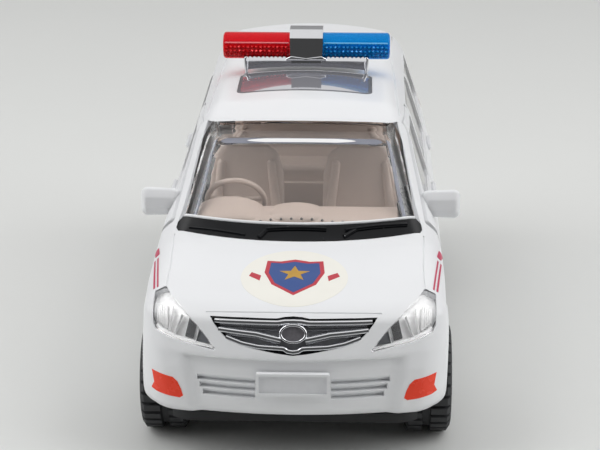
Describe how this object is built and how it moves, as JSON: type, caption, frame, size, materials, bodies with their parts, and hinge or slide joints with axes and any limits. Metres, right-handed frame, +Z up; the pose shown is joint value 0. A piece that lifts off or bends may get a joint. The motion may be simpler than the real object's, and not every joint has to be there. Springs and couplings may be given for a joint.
{
  "type": "toy police car",
  "caption": "Toy minivan police car with a red and blue light bar, opening front doors, clear windows over a seated cabin, and treaded wheels on a pull-back motor.",
  "frame": {"origin": "on the ground under the middle of the car, at the bottom centre of its box", "axes": "+Z up, -Y the way the car faces, +X towards the car's left side"},
  "size_m": [0.0556, 0.126, 0.0571],
  "materials": {
    "body_white": "moulded gloss",
    "clear_plastic": "clear, polished",
    "smoked_plastic": "smoked, polished",
    "cowl_black": "gloss",
    "grille_black": "satin",
    "chrome_plate": "vacuum plated",
    "tail_red": "clear red",
    "plate_grey": "satin",
    "lens_red": "clear red, ribbed inside",
    "lens_blue": "clear blue, ribbed inside",
    "interior_beige": "satin",
    "chassis_black": "satin",
    "steel": "bright",
    "brass_pinion": "bright",
    "gear_nylon": "natural",
    "motor_grey": "satin",
    "rim_silver": "silver",
    "tyre_rubber": "matt"
  },
  "bodies": {
    "body": {"body_shell": "body_white", "window_glazing": "clear_plastic", "roof_pane": "smoked_plastic", "cowl_panel": "cowl_black", "grille_backing": "grille_black", "grille_bars": "chrome_plate", "grille_badge": "chrome_plate", "headlamp_reflector_left": "chrome_plate", "headlamp_reflector_right": "chrome_plate", "headlamp_lens_left": "clear_plastic", "headlamp_lens_right": "clear_plastic", "tail_lamp_left": "tail_red", "tail_lamp_right": "tail_red", "front_plate": "plate_grey", "rear_plate": "plate_grey", "light_bar_bridge": "chrome_plate", "light_bar_lens_red": "lens_red", "light_bar_lens_blue": "lens_blue", "interior_tub": "interior_beige", "dashboard": "interior_beige", "steering_wheel": "interior_beige", "chassis_base": "chassis_black", "chassis_screws": "steel", "door_sockets": "body_white", "motor_case": "motor_grey", "motor_cover": "motor_grey", "reduction_arbor": "steel", "drum_arbor": "steel"},
    "door_left": {"front_door_left": "body_white", "door_mirror_left": "body_white", "door_pane_left": "clear_plastic", "door_pin_left": "steel"},
    "door_right": {"front_door_right": "body_white", "door_mirror_right": "body_white", "door_pane_right": "clear_plastic", "door_pin_right": "steel"},
    "front_wheels": {"front_axle": "steel", "rim_front_left": "rim_silver", "rim_front_right": "rim_silver", "tyre_front_left": "tyre_rubber", "tyre_front_right": "tyre_rubber"},
    "rear_wheels": {"rear_axle": "steel", "axle_pinion": "brass_pinion", "rim_rear_left": "rim_silver", "rim_rear_right": "rim_silver", "tyre_rear_left": "tyre_rubber", "tyre_rear_right": "tyre_rubber"},
    "reduction": {"reduction_gear": "gear_nylon"},
    "drum": {"drum_gear": "gear_nylon", "mainspring": "steel"}
  },
  "joints": [
    {"name": "door_left_hinge", "type": "hinge", "parent": "body", "child": "door_left", "pos_m": [0.0236, -0.0285, 0.021], "axis": [0, 0, -1], "range_deg": [0, 60]},
    {"name": "door_right_hinge", "type": "hinge", "parent": "body", "child": "door_right", "pos_m": [-0.0236, -0.0285, 0.021], "axis": [0, 0, 1], "range_deg": [0, 60]},
    {"name": "front_axle_spin", "type": "hinge", "parent": "body", "child": "front_wheels", "pos_m": [0, -0.0425, 0.0092], "axis": [1, 0, 0], "continuous": true},
    {"name": "rear_axle_spin", "type": "hinge", "parent": "body", "child": "rear_wheels", "pos_m": [0, 0.0339, 0.0092], "axis": [1, 0, 0], "continuous": true},
    {"name": "reduction_spin", "type": "hinge", "parent": "body", "child": "reduction", "pos_m": [0, 0.02922, 0.01519], "axis": [1, 0, 0], "continuous": true},
    {"name": "drum_spin", "type": "hinge", "parent": "body", "child": "drum", "pos_m": [0, 0.02084, 0.01577], "axis": [1, 0, 0], "continuous": true}
  ],
  "couplings": [
    {"joint": "reduction_spin", "follows": "rear_axle_spin", "ratio": -0.35714},
    {"joint": "drum_spin", "follows": "rear_axle_spin", "ratio": 0.11161}
  ]
}
